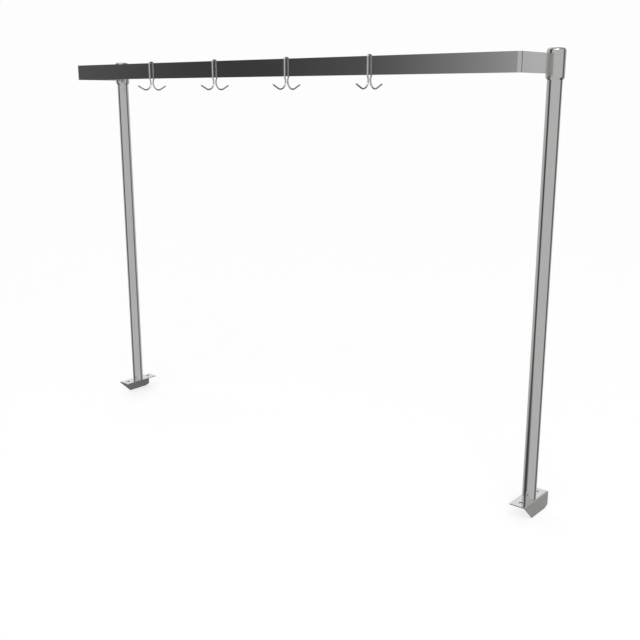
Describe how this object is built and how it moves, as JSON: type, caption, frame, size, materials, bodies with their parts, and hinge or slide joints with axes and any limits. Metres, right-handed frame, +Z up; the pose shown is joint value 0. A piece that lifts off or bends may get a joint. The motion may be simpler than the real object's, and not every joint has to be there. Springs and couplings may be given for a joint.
{
  "type": "pot rack",
  "caption": "Table-mounted pot rack: tube posts on folded foot brackets carry a flat bar bent into a wide U, with sliding double-pronged wire hooks for pots and pans.",
  "frame": {"origin": "midway between the two post axes, on the table top, at the centre of the foot bolt pattern", "axes": "+X along the bar to the right, -Y to the front, where the bar overhangs, +Z up the posts"},
  "size_m": [1.8288, 0.3371, 1.315],
  "materials": {
    "post_steel": "polished",
    "plate_steel": "satin",
    "cap_steel": "polished",
    "bar_steel": "polished",
    "hook_wire": "bright plated",
    "screw_steel": "satin"
  },
  "bodies": {
    "frame": {"left_upright": "post_steel", "right_upright": "post_steel", "left_foot_bracket": "plate_steel", "right_foot_bracket": "plate_steel", "left_post_cap": "cap_steel", "right_post_cap": "cap_steel", "left_set_screw": "screw_steel", "right_set_screw": "screw_steel", "rack_bar": "bar_steel"},
    "hook_1": {"hook_1": "hook_wire"},
    "hook_2": {"hook_2": "hook_wire"},
    "hook_3": {"hook_3": "hook_wire"},
    "hook_4": {"hook_4": "hook_wire"}
  },
  "joints": [
    {"name": "hook_1_slide", "type": "slide", "parent": "frame", "child": "hook_1", "axis": [1, 0, 0], "range_m": [-0.4019, 0.1496]},
    {"name": "hook_2_slide", "type": "slide", "parent": "frame", "child": "hook_2", "axis": [1, 0, 0], "range_m": [-0.1496, 0.1496]},
    {"name": "hook_3_slide", "type": "slide", "parent": "frame", "child": "hook_3", "axis": [1, 0, 0], "range_m": [-0.1496, 0.1496]},
    {"name": "hook_4_slide", "type": "slide", "parent": "frame", "child": "hook_4", "axis": [1, 0, 0], "range_m": [-0.1496, 0.4455]}
  ]
}
